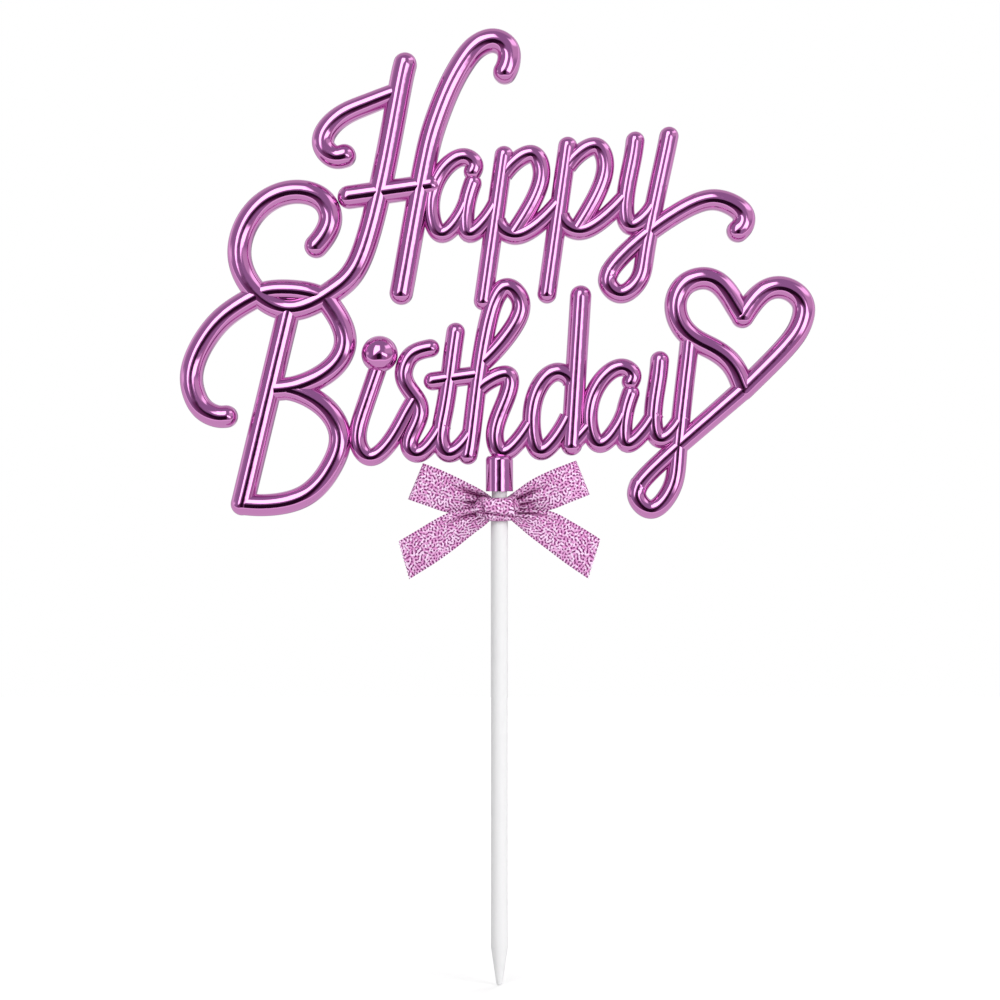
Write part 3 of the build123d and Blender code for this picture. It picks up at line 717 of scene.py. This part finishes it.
loops = {
    "loopLeft": {
        "node": "bow_loop_left", "angle": 162.0, "from": 1.5, "upperEnd": 20.25, "lowerEnd": 21.0,
        "upper": [(1.5, 1.6), (4.9, 2.7), (8.5, 3.4), (12.1, 3.95), (16.0, 4.4), (21.2, 4.6)],
        "lower": [(1.5, -1.2), (5.0, -2.4), (8.5, -4.1), (12.2, -4.7), (16.0, -4.65), (21.2, -4.55)],
        "half": [(1.5, 0.45), (6.0, 0.8), (11.0, 1.45), (16.0, 1.35), (20.4, 0.62)],
        "creases": [(0.7, 0.74, 0.16, 9.5, 1.0), (0.42, 0.4, 0.11, 7.5, 0.9), (0.2, 0.12, 0.07, 8.5, 0.5)],
        "folds": 2.6, "foldShift": 0.3, "foldDepth": 0.3,
    },
    "loopRight": {
        "node": "bow_loop_right", "angle": 20.0, "from": 1.5, "upperEnd": 20.7, "lowerEnd": 20.95,
        "upper": [(1.5, 1.6), (5.4, 2.7), (9.0, 3.7), (13.2, 4.25), (17.0, 4.4), (21.2, 4.45)],
        "lower": [(1.5, -1.2), (5.5, -3.0), (8.5, -4.0), (11.9, -4.4), (16.0, -4.3), (21.2, -4.15)],
        "half": [(1.5, 0.45), (6.0, 0.8), (11.0, 1.45), (16.0, 1.35), (20.4, 0.62)],
        "creases": [
            (0.66, 0.66, 0.13, 9.0, 1.0), (0.36, 0.36, 0.11, 8.0, 0.9), (0.14, 0.1, 0.07, 8.5, 0.5),
        ],
        "folds": 2.5, "foldShift": 0.75, "foldDepth": 0.3,
    },
}
# stretch is that of the weave in the fold, and cloth the length that the fold takes up
loopFold = {"radius": 0.62, "setback": 0.75, "layerRows": 100, "foldRows": 18, "stretch": 2, "cloth": 2}
# a loop: rows run out along the front layer, round the fold and back along the rear layer
for name, plan in loops.items():
    radius = loopFold["radius"]
    end = plan["lowerEnd"] + (plan["upperEnd"] - plan["lowerEnd"]) * across - radius
    share = np.linspace(0, 1, loopFold["layerRows"])[:, None]
    turn = np.linspace(-np.pi / 2, np.pi / 2, loopFold["foldRows"])[1:-1, None]
    out = plan["from"] + (end - plan["from"]) * share
    gap = throughTable(plan["half"], out)
    foldDepth = radius * np.sin(turn) + 0 * across
    reach = np.concatenate([out, end + radius * np.cos(turn), out[::-1]])
    furrow, shade = creases(plan, out)
    depth = np.concatenate([-gap + furrow, foldDepth, (gap + furrow)[::-1]]) + loopFold["setback"]
    shade = np.concatenate([shade, 0 * foldDepth, 0 * shade])
    foldPath = end + loopFold["stretch"] * radius * (turn + np.pi / 2)
    path = np.concatenate([out, foldPath, 2 * end + loopFold["cloth"] - out[::-1]])
    points = placeOnBow(plan["angle"], reach, riseBetween(plan, reach), depth)
    piece = gridPiece(name, points, ribbonUV(path), shade)
    thicken(piece)
    finishRibbon(piece, plan["node"])

knot = {
    "rows": 200, "columns": 96,
    "bore": 2.03, "left": 6.3, "right": 4.7, "front": 3.9, "top": 2.75, "bottom": 2.95,
    "square": 3.4, "bulge": 0.42, "crown": 0.8,  # powers of the oval round the stick and of the section
    "pinchLeft": 0.68, "pinchRight": 0.4, "pinchPower": 4,
    "saddle": 0.7, "saddlePlace": 0.7, "saddleHalf": 0.25, "saddleDip": 0.3,
    "furrow": 0.55, "furrowFront": 1.6,  # depth, and how soon the furrows start from the sides
    # place, lean, half width and strength of each furrow
    "lowerRoll": (-1.5, 0.12, 0.32, 1.0),
    "turnLeft": (-4.2, 0.3, 0.4, 1.0),
    "turnRight": (3.8, 0.2, 0.32, 0.8),
    "wrinkle": 0.08, "coarse": 7, "coarseSway": 1.7, "coarseShift": 0.8,
    "fine": 13, "fineSlant": 1.4, "fineShare": 0.6,
    # furrowShade and innerShade are painted shade, in the furrows and on the inner half against the stick
    "clothHalf": 0.42, "furrowShade": 0.85, "innerShade": 0.6,
}


# a furrow: a bell across a leaning line
def furrowLine(plan, distance, along):
    place, lean, half, strength = plan
    return strength * bell(distance - place + lean * along, half)


# the knot: a closed ring round the stick. Around runs about the stick from its back, over runs about
# the section, whose outer half bulges to an oval and whose inner half lies against the stick
around = np.linspace(0, 2 * np.pi, knot["rows"], endpoint=False)[:, None]
over = np.linspace(-np.pi, np.pi, knot["columns"], endpoint=False)[None, :]
side, face = -np.sin(around), np.cos(around)  # side is 1 at the right, face is 1 at the back
reachOut = np.where(side > 0, knot["right"], knot["left"])
square = knot["square"]
oval = (np.abs(side / reachOut) ** square + np.abs(face / knot["front"]) ** square) ** (-1 / square)
outward = np.clip(np.cos(over), 0, 1)
radius = knot["bore"] + (oval - knot["bore"]) * outward ** knot["bulge"]
sideways = np.clip(np.abs(radius * side) / reachOut, 0, 1)
lift = np.sin(over)
pinch = np.where(side > 0, knot["pinchRight"], knot["pinchLeft"]) * sideways ** knot["pinchPower"]
height = np.where(lift > 0, knot["top"], knot["bottom"]) * (1 - pinch)
height = height * np.sign(lift) * np.abs(lift) ** knot["crown"]
saddle = knot["saddle"] * (bell(sideways - knot["saddlePlace"], knot["saddleHalf"]) - knot["saddleDip"])
height = height + np.maximum(lift, 0) * saddle
x = radius * side
# furrows: one marks off the lower roll, one each side where the wrap turns to the back
lowerRoll = furrowLine(knot["lowerRoll"], height, x)
turns = np.maximum(furrowLine(knot["turnLeft"], x, height), furrowLine(knot["turnRight"], x, height))
furrow = np.maximum(lowerRoll, turns) * np.clip(-face * knot["furrowFront"], 0, 1) * outward
coarse = np.sin(knot["coarse"] * around + knot["coarseSway"] * np.sin(2 * over) + knot["coarseShift"])
wrinkle = coarse + knot["fineShare"] * np.sin(knot["fine"] * around + knot["fineSlant"] * over)
radius = radius + outward * (knot["wrinkle"] * wrinkle - knot["furrow"] * furrow)
points = np.stack([
    radius * side / millimetres + bow["middle"][0],
    radius * face / millimetres,
    height / millimetres + bow["middle"][1],
], axis=-1)
# UV from lengths along the surface, with the front's middle in the ribbon's middle
closed = np.pad(points, ((0, 1), (0, 1), (0, 0)), mode="wrap") * millimetres / bow["width"]
alongKnot = np.linalg.norm(np.diff(closed, axis=0, prepend=closed[:1]), axis=-1).cumsum(axis=0)
acrossKnot = np.linalg.norm(np.diff(closed, axis=1, prepend=closed[:, :1]), axis=-1).cumsum(axis=1)
middle = [knot["columns"] // 2]
fromMiddle = np.clip(acrossKnot - acrossKnot[:, middle], -knot["clothHalf"], knot["clothHalf"])
uv = np.stack([alongKnot[:, middle] + 0 * fromMiddle, 0.5 + fromMiddle], axis=-1)
# painted shade: darker in the furrows and on the section's inner half, against the stick
shade = np.maximum(knot["furrowShade"] * furrow, knot["innerShade"] * (1 - outward) ** 2)
finishRibbon(gridPiece("knot", points, uv, shade, closed=True), "bow_knot")
print("bow: tied from", len(tails) + len(loops) + 1, "pieces")
